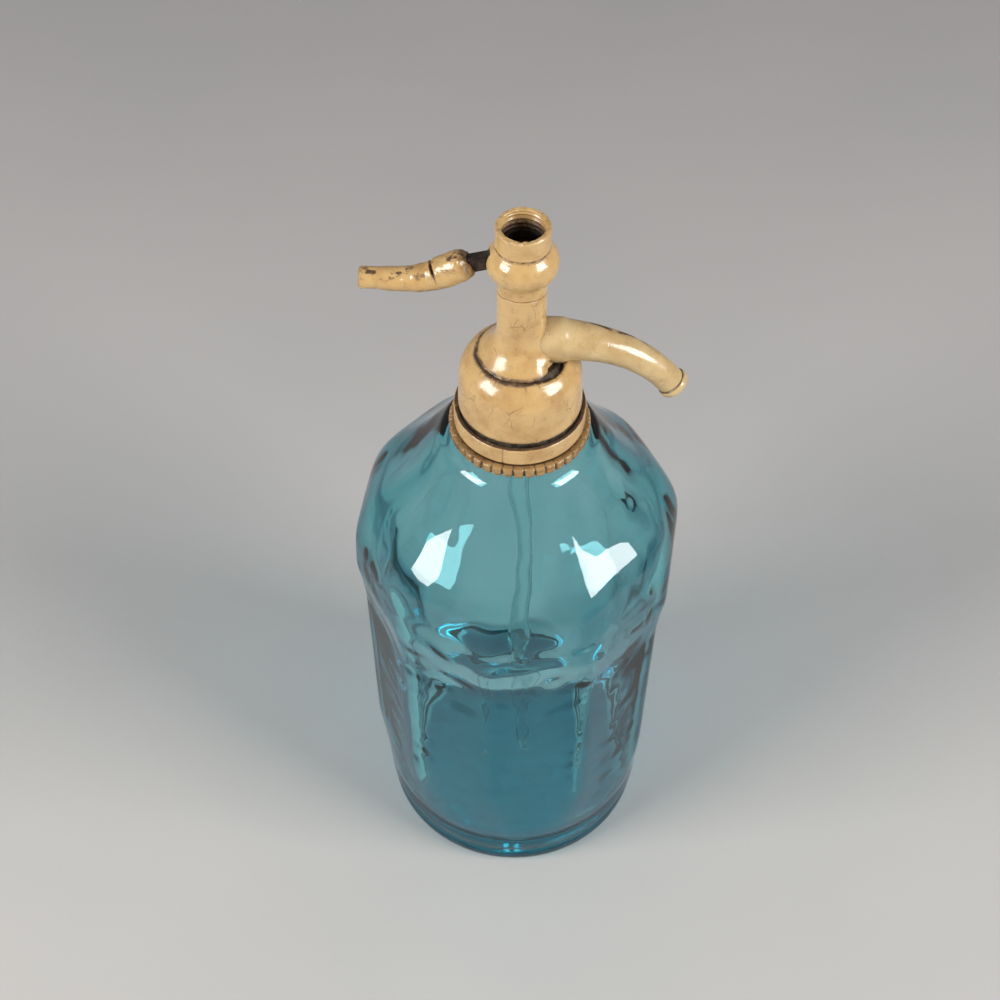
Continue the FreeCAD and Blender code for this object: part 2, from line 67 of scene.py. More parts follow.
# Bottle: panels that lean out from the heel to the ledge, then a dome that ends in a hollow sweep
PANELS = 10
PANEL_TURN = -80.0
APOTHEM = 52.0
LEAN = 2.0
RIDGE_Z = 139.0
LEDGE_PROUD = 2.2
LEDGE_Z = 147.0
DOME_Z = 161.0
DOME_ROUND = 28.0
DOME_SLOPE = 43.0
THROAT_SLOPE = 27.4
WALL = 4.6
FOOT_R = 44.2
FOOT_ROUND = 6
HEEL_R = 51.2
HEEL_TOP = 25.0
INNER_HEEL_Z = 22
INNER_HEEL_ROUND = 13
FINISH_R = 15.5
LIP_R = 16.9
MOUTH_R = 10.5
BOTTLE_SEGMENTS = 240

# Head
CORE_R = 6.9
NECK_R = 7.9
BAND_R = 22
BAND_SEAM_TURN = -104
SLOT_X = (-30, -2.0)
SLOT_Y = (-2.1, 2.1)
SLOT_Z = (281.4, 293.6)

# Spout: straight, then a bend. Turns about the line of the spout or the grip go from +Y, and the top is
# at 90 degrees on the spout and at -90 on the grip.
SPOUT_START_X = 3.0
SPOUT_BEND_X = 13.6
SPOUT_BEND_R = 43.0
SPOUT_BEND = 50.0
PIPE_R = 3.3
TRAIL_TURN = 66.0
CRACK_TURN = -118.0
GRIP_STEPS = 150
CRACK_SHARE = 0.30


def low(node):
    return tuple(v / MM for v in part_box(node)[0])


def high(node):
    return tuple(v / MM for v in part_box(node)[1])


def srgb(r, g, b):
    """Linear colour of an sRGB colour given in 0 to 255."""
    def channel(v):
        v /= 255
        return v / 12.92 if v <= 0.04045 else ((v + 0.055) / 1.055) ** 2.4
    return (channel(r), channel(g), channel(b), 1.0)


# Lever: places from the pivot along X and Z, with the radius of the grip there
PIVOT = tuple((a + b) / 2 for a, b in zip(low("lever_pin"), high("lever_pin")))
GRIP = [
    (-8.2, -1.2, 3.0), (-8.9, -1.8, 4.4), (-10.4, -2.9, 5.1), (-14.7, -5.3, 5.2), (-20.0, -7.7, 4.7),
    (-25.5, -9.1, 4.1), (-31.0, -9.5, 3.75), (-37.0, -9.0, 3.5), (-41.8, -8.6, 3.45), (-42.6, -8.55, 2.7),
]


# Outlines and meshes

def arc(cx, cz, r, start, end, count=12):
    turns = np.radians(np.linspace(start, end, count))
    return [(cx + r * math.cos(t), cz + r * math.sin(t)) for t in turns]


def soften(points, step, spread, closed=False):
    """Even points along an outline, with its corners rounded off by a blur of the given spread. Steps are
    measured in the first two coordinates."""
    p = np.array(list(points) + ([points[0]] if closed else []), float)
    seg = np.hypot(*np.diff(p[:, :2], axis=0).T)
    s = np.concatenate([[0], np.cumsum(seg)])
    count = max(8, int(s[-1] / step))
    t = np.linspace(0, s[-1], count, endpoint=not closed)
    q = np.stack([np.interp(t, s, p[:, k]) for k in range(p.shape[1])], 1)
    width = max(1, int(3 * spread / step))
    kernel = np.exp(-0.5 * (np.arange(-width, width + 1) * step / spread) ** 2)
    kernel /= kernel.sum()
    if closed:
        padded = np.concatenate([q[-width:], q, q[:width]])
    else:
        padded = np.concatenate([2 * q[0] - q[width:0:-1], q, 2 * q[-1] - q[-2:-width - 2:-1]])
    return np.stack([np.convolve(padded[:, k], kernel, "valid") for k in range(p.shape[1])], 1)


def along_of(points):
    """Length along a line of points, from its start to each point."""
    return np.concatenate([[0], np.cumsum(np.linalg.norm(np.diff(points, axis=0), axis=1))])


def wobble(points, size, seed):
    """Smooth noise, about -1 to 1, at each point, with features of the given size."""
    flat = points.reshape(-1, 3) / size + seed * 17.31
    return np.array([noise.noise(Vector(v)) for v in flat]).reshape(points.shape[:-1])


def half_wobble(points, size, seed):
    """Smooth noise, about 0 to 1."""
    return 0.5 + 0.5 * wobble(points, size, seed)


def rough_noise(points, size, seed):
    """Noise with finer detail on it, for worn and broken edges."""
    flat = points.reshape(-1, 3) / size + seed * 9.7
    return np.array([noise.fractal(Vector(v), 0.8, 2.1, 4) for v in flat]).reshape(points.shape[:-1])


def add_object(name, data):
    thing = bpy.data.objects.new(name, data)
    bpy.context.scene.collection.objects.link(thing)
    return thing


def surface(name, grid, material, closed=False, caps=(), grime_and_shade=None):
    """Mesh over a grid whose rows are rings of points. closed joins the last ring to the first, and caps
    lists the ends to fill, 0 and -1. The darkening at each point, 0 to 1, which is dirt together with
    painted shade, is kept on the mesh for its material."""
    rows, cols = grid.shape[:2]
    verts = grid.reshape(-1, 3)
    faces = []
    for i in range(rows if closed else rows - 1):
        a, b = i * cols, ((i + 1) % rows) * cols
        for j in range(cols):
            k = (j + 1) % cols
            faces.append((a + j, a + k, b + k, b + j))
    hubs = []
    for end in caps:
        hub = len(verts) + len(hubs)
        hubs.append(grid[end].mean(0))
        base = 0 if end == 0 else (rows - 1) * cols
        for j in range(cols):
            k = (j + 1) % cols
            faces.append((base + k, base + j, hub) if end == 0 else (base + j, base + k, hub))
    if hubs:
        verts = np.concatenate([verts, np.array(hubs)])
    mesh = bpy.data.meshes.new(name)
    mesh.from_pydata((verts * MM).tolist(), [], faces)
    mesh.polygons.foreach_set("use_smooth", [True] * len(mesh.polygons))
    values = np.zeros(len(verts), np.float32)
    if grime_and_shade is not None:
        values[:rows * cols] = np.clip(grime_and_shade, 0, 1).reshape(-1)
        for n, end in enumerate(caps):
            values[rows * cols + n] = np.clip(grime_and_shade[end], 0, 1).mean()
    mesh.attributes.new("grime_and_shade", "FLOAT", "POINT").data.foreach_set("value", values)
    piece = add_object(name, mesh)
    mesh.materials.append(material)
    return piece


def place(piece, body, node):
    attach(piece, body)
    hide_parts(node)


def circle(segments):
    """Turns all round, in radians, as one row."""
    return np.linspace(0, 2 * math.pi, segments, endpoint=False)[None, :]


def ring_points(r, turn, z):
    return np.stack([r * np.cos(turn), r * np.sin(turn), z], -1)


def turned_points(path, segments, shape):
    """Points of a path in (r, z) turned about the Z axis, where shape gives r and z anew at each turn."""
    r = np.repeat(path[:, :1], segments, 1)
    z = np.repeat(path[:, 1:2], segments, 1)
    turn = circle(segments) + 0 * r
    r, z = shape(r, z, turn)
    return ring_points(r, turn, z)


def turn_of(points):
    return np.arctan2(points[..., 1], points[..., 0])


def outward(points):
    """Distance of points from the Z axis, and their direction away from it."""
    reach = np.hypot(points[..., 0], points[..., 1])
    flat = points[..., :2] / np.maximum(reach, 1)[..., None]
    return reach, np.concatenate([flat, 0 * reach[..., None]], -1)


def gap_turn(turn, centre):
    """Signed angle between a turn and a centre given in degrees, in radians."""
    return (turn - np.radians(centre) + math.pi) % (2 * math.pi) - math.pi


def near_turn(turn, centre, width):
    """1 at a centre given in degrees, fading to 0 over a width in radians."""
    return np.exp(-(gap_turn(turn, centre) / width) ** 2)


def step_up(value, start, end):
    """Smooth step from 0 at start to 1 at end."""
    t = np.clip((value - start) / (end - start), 0, 1)
    return t * t * (3 - 2 * t)


# Materials

class Paint:
    """A node material: short calls that add a node and return its output. Sizes are millimetres."""

    def __init__(self, name):
        self.material = bpy.data.materials.new(name)
        self.material.use_nodes = True
        self.tree = self.material.node_tree
        self.tree.nodes.clear()
        self.out = self.tree.nodes.new("ShaderNodeOutputMaterial")
        self.place = self.scaled(self.node("ShaderNodeTexCoord", output="Object"), 1 / MM)

    def node(self, kind, props=None, inputs=None, output=0):
        n = self.tree.nodes.new(kind)
        for key, value in (props or {}).items():
            setattr(n, key, value)
        for key, value in (inputs or {}).items():
            if isinstance(value, bpy.types.NodeSocket):
                self.tree.links.new(value, n.inputs[key])
            else:
                n.inputs[key].default_value = value
        return n.outputs[output]

    def scaled(self, vector, factor):
        return self.node("ShaderNodeVectorMath", {"operation": "SCALE"}, {0: vector, "Scale": factor})

    def noise(self, size, detail, rough=0.55, output=0):
        inputs = {"Vector": self.place, "Scale": 1 / size, "Detail": detail, "Roughness": rough}
        return self.node("ShaderNodeTexNoise", None, inputs, output)

    def cells(self, size, feature, vector):
        inputs = {"Vector": vector, "Scale": 1 / size}
        return self.node("ShaderNodeTexVoronoi", {"feature": feature}, inputs, "Distance")

    def cracks(self, size, width, vector):
        """1 on the lines between cells, 0 within them."""
        return self.ramp(self.cells(size, "DISTANCE_TO_EDGE", vector), 0.004, width, 1.0, 0.0)

    def math(self, operation, a, b):
        return self.node("ShaderNodeMath", {"operation": operation}, {0: a, 1: b})

    def times(self, a, b):
        return self.math("MULTIPLY", a, b)

    def ramp(self, value, start, end, low_value=0.0, high_value=1.0):
        return self.node("ShaderNodeMapRange", {"interpolation_type": "SMOOTHSTEP"}, {
            "Value": value, "From Min": start, "From Max": end, "To Min": low_value, "To Max": high_value})

    def patches(self, size, detail, start, end, rough=0.55):
        """Patches of 1 on 0, where noise rises from start to end."""
        return self.ramp(self.noise(size, detail, rough), start, end)

    def mix(self, share, a, b):
        """Colour between a and b. Of the node's sockets, 6 and 7 take colours, and output 2 gives one."""
        return self.node("ShaderNodeMix", {"data_type": "RGBA"}, {0: share, 6: a, 7: b}, 2)

    def axis(self, letter):
        return self.node("ShaderNodeSeparateXYZ", None, {0: self.place}, letter)

    def shifted(self, size, amount):
        """Places pushed about by noise, so that lines drawn there are uneven."""
        push = self.scaled(self.noise(size, 2.0, 0.5, "Color"), amount)
        return self.node("ShaderNodeVectorMath", {"operation": "ADD"}, {0: self.place, 1: push})

    def bump(self, height, distance, strength, under=None):
        inputs = {"Height": height, "Distance": distance * MM, "Strength": strength}
        if under is not None:
            inputs["Normal"] = under
        return self.node("ShaderNodeBump", None, inputs)

    def show(self, shader):
        self.tree.links.new(shader, self.out.inputs["Surface"])
        return self.material

    def finish(self, **inputs):
        named = {key.replace("_", " "): value for key, value in inputs.items()}
        return self.show(self.node("ShaderNodeBsdfPrincipled", None, named))


def cream_resin(name, light, dark, stain, craze):
    """Aged glossy moulding: mottled cream, fine dark crazing, specks, and brown from the mesh's darkening
    attribute: grime in hollows and at joints, and painted shade in gaps and bores.
    """
    p = Paint(name)
    mottled = p.mix(p.patches(9, 4, 0.35, 0.7), light, dark)
    cloud = p.patches(3.1, 5, 0.52, 0.78, 0.65)
    mottled = p.mix(p.times(cloud, 0.4), mottled, stain)

    fine = p.cracks(4.2, 0.017, p.shifted(2.4, 1.3))
    fine = p.times(fine, p.patches(7.5, 2, 0.58, 0.68))
    upright = {0: p.shifted(3.5, 2.2), 1: (1.0, 1.0, 0.35)}
    hair = p.cracks(7.0, 0.014, p.node("ShaderNodeVectorMath", {"operation": "MULTIPLY"}, upright))
    hair = p.times(hair, p.patches(11, 1, 0.55, 0.65))
    lines = p.math("MAXIMUM", p.times(fine, craze), p.times(hair, craze))
    dots = p.ramp(p.cells(2.6, "F1", p.place), 0.05, 0.11, 1.0, 0.0)
    dots = p.times(dots, p.patches(4.5, 1, 0.56, 0.6))
    marks = p.math("MAXIMUM", lines, dots)

    # The attribute holds dirt and also painted shade in gaps and bores; both turn the colour brown and
    # rougher.
    hollows = p.node("ShaderNodeAttribute", {"attribute_name": "grime_and_shade"}, None, "Fac")
    grime_and_shade = p.times(hollows, p.ramp(p.noise(1.3, 5, 0.7), 0.25, 0.6, 0.55, 1.25))
    brown = srgb(74, 50, 30)
    colour = p.mix(p.times(marks, 0.7), mottled, brown)
    colour = p.mix(p.ramp(grime_and_shade, 0.05, 0.95), colour, brown)
    rough = p.math("ADD", p.ramp(p.noise(2.2, 4), 0.3, 0.75, 0.13, 0.3), p.times(grime_and_shade, 0.4))
    low_wave = p.bump(p.noise(6.5, 2), 0.35, 0.5)
    pits = p.bump(p.times(marks, -1.0), 0.12, 0.6, low_wave)
    return p.finish(Base_Color=colour, Roughness=rough, Normal=pits, IOR=1.52,
                    Subsurface_Weight=0.06, Subsurface_Radius=(0.003, 0.0015, 0.0008),
                    Coat_Weight=0.25, Coat_Roughness=0.08)


def old_metal(name, light, dark, roughness=0.45, metallic=0.85, pit=0.15):
    """Dull metal in patches of two colours, with rust and small pits."""
    p = Paint(name)
    colour = p.mix(p.patches(2.6, 6, 0.35, 0.68, 0.65), light, dark)
    rust = p.patches(1.1, 4, 0.56, 0.7, 0.7)
    colour = p.mix(p.times(rust, 0.5), colour, srgb(58, 38, 24))
    rough = p.ramp(p.noise(1.7, 4), 0.3, 0.7, roughness - 0.12, roughness + 0.2)
    pits = p.bump(p.noise(0.8, 5, 0.7), pit, 0.7)
    return p.finish(Base_Color=colour, Roughness=rough, Metallic=metallic, Normal=pits)


def black_rubber():
    p = Paint("rubber_black")
    colour = p.mix(p.noise(2.0, 4), srgb(30, 27, 25), srgb(62, 55, 48))
    rough = p.ramp(p.noise(1.2, 3), 0.3, 0.7, 0.55, 0.8)
    return p.finish(Base_Color=colour, Roughness=rough, Normal=p.bump(p.noise(0.5, 3), 0.05, 0.5))


def clear_glass(name, tint, slant_shade, sheen, absorb, density, shadow):
    """Glass with its colour in its depth. Where it is seen at a slant it turns to a darker tint, which is
    painted shade, and its gloss has the sheen tint below the ledge. Lamps pass it as tinted light, without a
    black shadow."""
    p = Paint(name)
    slant = p.node("ShaderNodeLayerWeight", None, {"Blend": 0.5}, "Facing")
    # Painted shade: the colour darkens towards the slant tint where the glass is seen edge-on.
    colour = p.mix(p.ramp(slant, 0.5, 0.78), tint, slant_shade)
    gloss = p.mix(p.ramp(p.axis("Z"), 120, 165), sheen, (1, 1, 1, 1))
    glass = p.node("ShaderNodeBsdfPrincipled", None, {
        "Roughness": 0.0, "IOR": 1.5, "Transmission Weight": 1.0,
        "Base Color": colour, "Specular Tint": gloss})
    clear = p.node("ShaderNodeBsdfTransparent", None, {"Color": shadow})
    in_shadow = p.node("ShaderNodeLightPath", output="Is Shadow Ray")
    volume = p.node("ShaderNodeVolumeAbsorption", None, {"Color": absorb, "Density": density})
    p.tree.links.new(volume, p.out.inputs["Volume"])
    return p.show(p.node("ShaderNodeMixShader", None, {0: in_shadow, 1: glass, 2: clear}))


CREAM = cream_resin("resin_cream", srgb(193, 159, 106), srgb(174, 137, 86), srgb(122, 90, 54), 0.6)
SPOUT_CREAM = cream_resin("resin_spout", srgb(192, 166, 120), srgb(174, 145, 99), srgb(124, 98, 64), 0.3)
GRIP_CREAM = cream_resin("resin_grip", srgb(190, 156, 103), srgb(174, 134, 82), srgb(118, 82, 48), 0.5)
COLLAR_CREAM = cream_resin("resin_collar", srgb(158, 124, 78), srgb(132, 97, 57), srgb(86, 60, 35), 0.6)
CORE_METAL = old_metal("metal_core", srgb(112, 104, 92), srgb(58, 48, 40))
LEVER_STEEL = old_metal("metal_lever", srgb(86, 74, 64), srgb(38, 30, 26), 0.5, 0.8, 0.3)
BRASS = old_metal("metal_brass", srgb(120, 92, 52), srgb(66, 48, 30), 0.4, 0.9)
RUBBER = black_rubber()
# Each glass's slant tint is painted shade, for where it is seen edge-on.
BOTTLE_GLASS = clear_glass(
    "glass_turquoise", tint=(0.97, 0.99, 1.0, 1), slant_shade=(0.18, 0.30, 0.42, 1), sheen=(0.12, 0.40, 0.46, 1),
    absorb=(0.0, 0.74, 0.80, 1), density=120.0, shadow=srgb(60, 168, 182))
TUBE_GLASS = clear_glass(
    "glass_tube", tint=(0.98, 1.0, 1.0, 1), slant_shade=(0.9, 0.95, 0.95, 1), sheen=(1, 1, 1, 1),
    absorb=(0.5, 0.9, 0.95, 1), density=30.0, shadow=srgb(220, 240, 240))


# Bottle

def polygon_share(r, turn, sharp):
    """Radius of a ring of panels that lie at r from the axis. A larger sharp gives crisper corners."""
    total = 0
    for k in range(PANELS):
        facing = np.cos(turn - math.radians(PANEL_TURN + 360 / PANELS * k))
        total = total + np.maximum(facing, 0) ** sharp
    return r / total ** (1 / sharp)


def hollow_sweep(start, top_z, count=14):
    """Hollow curve from the round of the dome up to the throat."""
    lean_in, lean_out = math.radians(DOME_SLOPE), math.radians(THROAT_SLOPE)
    bend = (top_z - start[1]) / (math.sin(lean_in) - math.sin(lean_out))
    points = []
    for share in np.linspace(0, 1, count)[1:]:
        lean = lean_in + (lean_out - lean_in) * share
        r = start[0] - bend * (math.cos(lean) - math.cos(lean_in))
        points.append((r, start[1] + bend * (math.sin(lean_in) - math.sin(lean))))
    return points


def bottle_path():
    """Outline from under the foot up the outside to the lip, and from the mouth down the inside."""
    top = high("glass_bottle")[2]
    crown = low("collar_half_front")[2] - 0.6
    ridge_r = APOTHEM + LEAN
    ledge_r = ridge_r + LEDGE_PROUD
    dome_x = ledge_r - DOME_ROUND

    recess = [(0.4, 5), (22, 3.8), (37, 0.5), (40, 0)]
    foot = [(FOOT_R, 0)] + arc(FOOT_R, FOOT_ROUND, FOOT_ROUND, -80, 0, 8)
    groove = [(50.2, 9.5), (49.3, 11), (51.0, 13)]
    heel = [(HEEL_R, 17), (HEEL_R, 23), (APOTHEM, 27.5)]
    ledge = [(ridge_r - 0.2, RIDGE_Z - 9), (ridge_r + 0.7, RIDGE_Z), (ledge_r, LEDGE_Z + 2)]
    dome = arc(dome_x, DOME_Z, DOME_ROUND, 0, DOME_SLOPE)
    dome += hollow_sweep(dome[-1], crown - 1.5)
    throat = [(22.3, crown), (FINISH_R, crown + 0.3)]
    lip = [(FINISH_R, top - 5.5), (LIP_R, top - 4.2), (LIP_R, top - 0.6)]

    inner_dome = arc(dome_x, DOME_Z, DOME_ROUND - WALL, 0, DOME_SLOPE)
    inner_dome += hollow_sweep(inner_dome[-1], crown - WALL)
    inner_r = APOTHEM - WALL
    inside = [(MOUTH_R, top), (MOUTH_R, crown - WALL + 1.0)] + inner_dome[::-1]
    inside += [(ledge_r - WALL, LEDGE_Z + 8), (ridge_r - WALL, RIDGE_Z - 30), (inner_r, INNER_HEEL_Z)]
    inside += arc(inner_r - INNER_HEEL_ROUND, INNER_HEEL_Z, INNER_HEEL_ROUND, 0, -88)
    inside += [(18, 9.6), (0.4, 10.6)]
    return recess + foot + groove + heel + ledge + dome + throat + lip, inside


def bottle_points():
    outside, inside = bottle_path()
    outer = soften(outside, 1.1, 1.3)
    inner = soften(inside, 1.6, 1.6)
    outer[:, 1] = np.maximum(outer[:, 1], 0)
    inner[0] = (11.0, outer[-1][1])
    crown = low("collar_half_front")[2]

    def panelled(r, z, turn):
        share = step_up(z, HEEL_TOP - 1, HEEL_TOP + 32) * (1 - step_up(z, crown - 14, crown - 1))
        share = share * step_up(r, 20, 30)
        sharp = 90 - 62 * step_up(z, 140, 176)
        return r + share * (polygon_share(r, turn, sharp) - r), z

    def hollow(r, z, turn):
        share = 0.75 * step_up(z, 15, 40) * (1 - step_up(z, 150, 185))
        return r + share * (polygon_share(r, turn, 50) - r), z

    out_grid = turned_points(outer, BOTTLE_SEGMENTS, panelled)
    reach, away = outward(out_grid)
    bulge = 0.07 * wobble(out_grid, 14, 1) + 0.02 * wobble(out_grid, 5, 2)
    fade = step_up(out_grid[..., 2], 6, 25) * step_up(reach, 17, 30)
    out_grid = out_grid + away * (bulge * fade)[..., None]

    in_grid = turned_points(inner, BOTTLE_SEGMENTS, hollow)
    reach, away = outward(in_grid)
    height = in_grid[..., 2]
    swell = 0.55 * wobble(in_grid * np.array([1, 1, 0.45]), 17, 3) + 0.15 * wobble(in_grid, 7, 4)
    at_ledge = step_up(height, 118, 136) * (1 - step_up(height, 148, 160))
    swell = swell + at_ledge * 0.9 * wobble(in_grid, 9, 18)
    in_grid = in_grid + away * (swell * step_up(reach, 12, 30))[..., None]
    in_grid[..., 2] += 0.5 * wobble(in_grid, 12, 5) * (in_grid[..., 2] < 30)
    return np.concatenate([out_grid, in_grid])


def make_bottle():
    piece = surface("bottle", bottle_points(), BOTTLE_GLASS, caps=(0, -1))
    place(piece, "root", "glass_bottle")


# Head

def moulding(name, outline, step, spread, segments, shape, darkening):
    """Cream piece turned from a closed outline. Its last argument gives the darkening, dirt and painted
    shade, from the points and their radius.
    """
    grid = turned_points(soften(outline, step, spread, closed=True), segments, shape)
    grime_and_shade = darkening(grid, np.hypot(grid[..., 0], grid[..., 1]))
    return surface(name, grid, CREAM, closed=True, grime_and_shade=grime_and_shade)


def make_bell():
    z0, z1 = low("bell_shell")[2], high("bell_shell")[2]
    side_r, foot_r, flare_r, bend = 20.2, 20.6, 14.5, 11.5
    top_z = z0 + 12.1
    end = math.degrees(math.acos((flare_r - side_r + bend) / bend))
    outline = [(18.95, z0), (foot_r, z0), (side_r, top_z)] + arc(side_r - bend, top_z, bend, 8, end)
    outline += [(12.9, z1 - 0.2), (12.6, z1 - 1.0)] + arc(8.9, top_z - 0.5, 10.05, end + 4, 0)[:-1]

    def worn(r, z, turn):
        points = ring_points(r, turn, z)
        edge = step_up(16.2 - r, 0, 1.6) * step_up(z, z1 - 2.2, z1 - 0.8)
        r = r + 0.3 * edge * rough_noise(points, 1.7, 1) + 0.07 * wobble(points, 5, 6)
        chip = near_turn(turn, -38, 0.5)
        return r + 2.2 * edge * chip, z - 0.7 * edge * chip

    def darkening(points, r):
        rough = half_wobble(points, 2.2, 8)
        foot = step_up(z0 + 2.2 - points[..., 2], 0, 2.2) * 0.5
        crown = step_up(16.0 - r, 0, 1.4) * 0.9 * (points[..., 2] > z1 - 2.5)
        rays = outward(points)[1] * 16
        craze = step_up(wobble(rays, 0.45, 19), 0.22, 0.5)
        craze = craze * step_up(r, 14, 14.6) * (1 - step_up(r, 15.5, 18.2))
        # Painted shade: the bottom of the bell's bore, in the gap over the band, is darkened flat.
        inside = (r < 19.2) & (points[..., 2] < z0 + 3)
        return np.maximum(np.maximum(foot, crown) * (0.4 + rough), craze * 0.55) + inside * 0.8

    piece = moulding("bell_cover", outline, 0.4, 0.35, 256, worn, darkening)
    place(piece, "root", "bell_shell")


def seam_height(turn):
    """The seam round the neck climbs towards the front."""
    return -2.1 * np.sin(turn)


def make_neck():
    z0, z1 = low("neck_cover")[2], high("neck_cover")[2]
    foot_z = high("bell_shell")[2] + 0.3
    skirt_r, flare_r, rise = 12.2, 14.4, 11.8
    lip_z = foot_z + 0.5
    run = flare_r - NECK_R
    bend = (run ** 2 + rise ** 2) / (2 * run)
    turn_in = math.degrees(math.asin(rise / bend))
    outline = [(CORE_R, z0), (skirt_r, z0), (skirt_r, foot_z), (flare_r, foot_z), (flare_r, lip_z)]
    outline += arc(NECK_R + bend, lip_z + rise, bend, 180 + turn_in, 180, 16)
    outline += [(NECK_R, z1), (CORE_R, z1)]

    def worn(r, z, turn):
        points = ring_points(r, turn, z)
        edge = step_up(r, 12.6, 14.2) * step_up(foot_z + 1.4 - z, 0, 1.2)
        r = r + 0.35 * edge * rough_noise(points, 1.5, 2) + 0.08 * wobble(points, 4.5, 7)
        chip = near_turn(turn, -32, 0.3)
        r = r - 3.8 * chip * step_up(r, 10.5, 14) * step_up(foot_z + 3.6 - z, 0, 2.0)
        lift = step_up(z, z1 - 7, z1) * seam_height(turn)
        return r, z + lift

    def darkening(points, r):
        z = points[..., 2]
        turn = turn_of(points)
        rough = half_wobble(points, 1.9, 9)
        foot = step_up(r, 11.8, 14.2) * step_up(foot_z + 1.8 - z, 0, 1.6)
        side = near_turn(turn, -150, 0.6) * step_up(foot_z + 9 - z, 0, 6) * 0.35
        top = step_up(z - seam_height(turn), z1 - 0.3, z1 - 0.1) * 0.5
        return np.maximum(np.maximum(foot * (0.5 + rough), side * rough), top)

    piece = moulding("neck_sleeve", outline, 0.35, 0.3, 200, worn, darkening)
    place(piece, "root", "neck_cover")


def cut_slot(piece):
    """Opens the slot that the lever passes through."""
    corners = [(x, y, z) for x in SLOT_X for y in SLOT_Y for z in SLOT_Z]
    faces = [(0, 1, 3, 2), (4, 6, 7, 5), (0, 4, 5, 1), (2, 3, 7, 6), (0, 2, 6, 4), (1, 5, 7, 3)]
    mesh = bpy.data.meshes.new("slot_tool")
    mesh.from_pydata([Vector(c) * MM for c in corners], [], faces)
    tool = add_object("slot_tool", mesh)
    cut = piece.modifiers.new("cut", "BOOLEAN")
    cut.operation = "DIFFERENCE"
    cut.solver = "EXACT"
    cut.object = tool
    bpy.context.view_layer.update()
    shaped = bpy.data.meshes.new_from_object(piece.evaluated_get(bpy.context.evaluated_depsgraph_get()))
    piece.modifiers.clear()
    piece.data = shaped
    bpy.data.objects.remove(tool)


def make_housing():
    z0, z1 = low("lever_housing")[2], high("lever_housing")[2]
    bulge_z = z0 + 5.6
    top_bore_r, block_r, block_z = 7.7, 9.95, z1 - 2.9
    outline = [(CORE_R, z0), (NECK_R, z0), (NECK_R, bulge_z - 0.6)]
    outline += arc(3.9, bulge_z + 6.9, 7.4, -58, 52, 18)
    outline += [(8.75, z1 - 0.4), (8.6, z1), (top_bore_r, z1), (top_bore_r, block_z)]
    outline += [(block_r, block_z), (block_r, z1 - 11.2), (CORE_R, z1 - 11.4)]

    def worn(r, z, turn):
        lift = step_up(z0 + 7 - z, 0, 7) * seam_height(turn)
        return r + 0.1 * wobble(ring_points(r, turn, z), 4, 11) * (r > 7.5), z + lift

    def darkening(points, r):
        z = points[..., 2]
        turn = turn_of(points)
        rough = half_wobble(points, 1.6, 12)
        groove = step_up(z, z1 - 1.2, z1 - 0.1) * 0.7
        seam = step_up(z0 + 0.3 - z + seam_height(turn), 0, 0.3) * 0.3
        slot = near_turn(turn, 180, 0.4) * step_up(z, z1 - 16, z1 - 12) * 0.45
        return np.maximum(np.maximum(groove * (0.4 + rough), seam), slot * rough)

    piece = moulding("bulge_cover", outline, 0.35, 0.3, 200, worn, darkening)
    cut_slot(piece)
    place(piece, "root", "lever_housing")


def make_mouth():
    """Open rim with a thread in it, chipped along its top."""
    z0, z1 = low("mouth_ring")[2], high("mouth_ring")[2]
    outer_r, bore_r, depth, pitch = 8.6, 6.8, 0.55, 1.75
    outline = [(bore_r, z0), (outer_r + 0.15, z0), (outer_r - 0.05, z0 + 1.0), (outer_r, z1 - 0.5)]
    outline += [(8.1, z1), (7.0, z1 - 0.1), (bore_r, z1 - 0.8)]

    def threaded(r, z, turn):
        points = ring_points(r, turn, z)
        wave = ((z - z0) / pitch - turn / (2 * math.pi)) % 1
        tooth = np.abs(wave - 0.5) * 2
        inner = step_up(7.6 - r, 0, 0.5) * step_up(z1 - 0.5 - z, 0, 0.6)
        r = r + inner * depth * (1 - tooth) ** 0.8
        rim = step_up(z, z1 - 1.3, z1 - 0.2)
        hollows = np.maximum(rough_noise(points, 2.6, 3), 0)
        chips = np.maximum(hollows * 1.3 + 0.25 * rough_noise(points, 0.8, 4), -0.1)
        front = 0.35 + 0.65 * near_turn(turn, -110, 0.9)
        return r - 0.25 * rim * (r > 7.8) * hollows * front, z - rim * chips * 0.7 * front

    def darkening(points, r):
        z = points[..., 2]
        rough = half_wobble(points, 1.4, 13)
        # The bore carries light dirt all through and, further down, painted shade that deepens with depth.
        bore = step_up(7.7 - r, 0, 0.4) * (0.16 + 0.7 * step_up(z1 - 2.0 - z, 0, 4.5))
        rim = step_up(z, z1 - 0.9, z1 - 0.1) * 0.45 * rough
        foot = step_up(z0 + 0.7 - z, 0, 0.6) * 0.7
        return np.maximum(np.maximum(bore, rim), foot * (0.4 + rough))

    piece = moulding("mouth_rim", outline, 0.17, 0.12, 256, threaded, darkening)
    place(piece, "root", "mouth_ring")


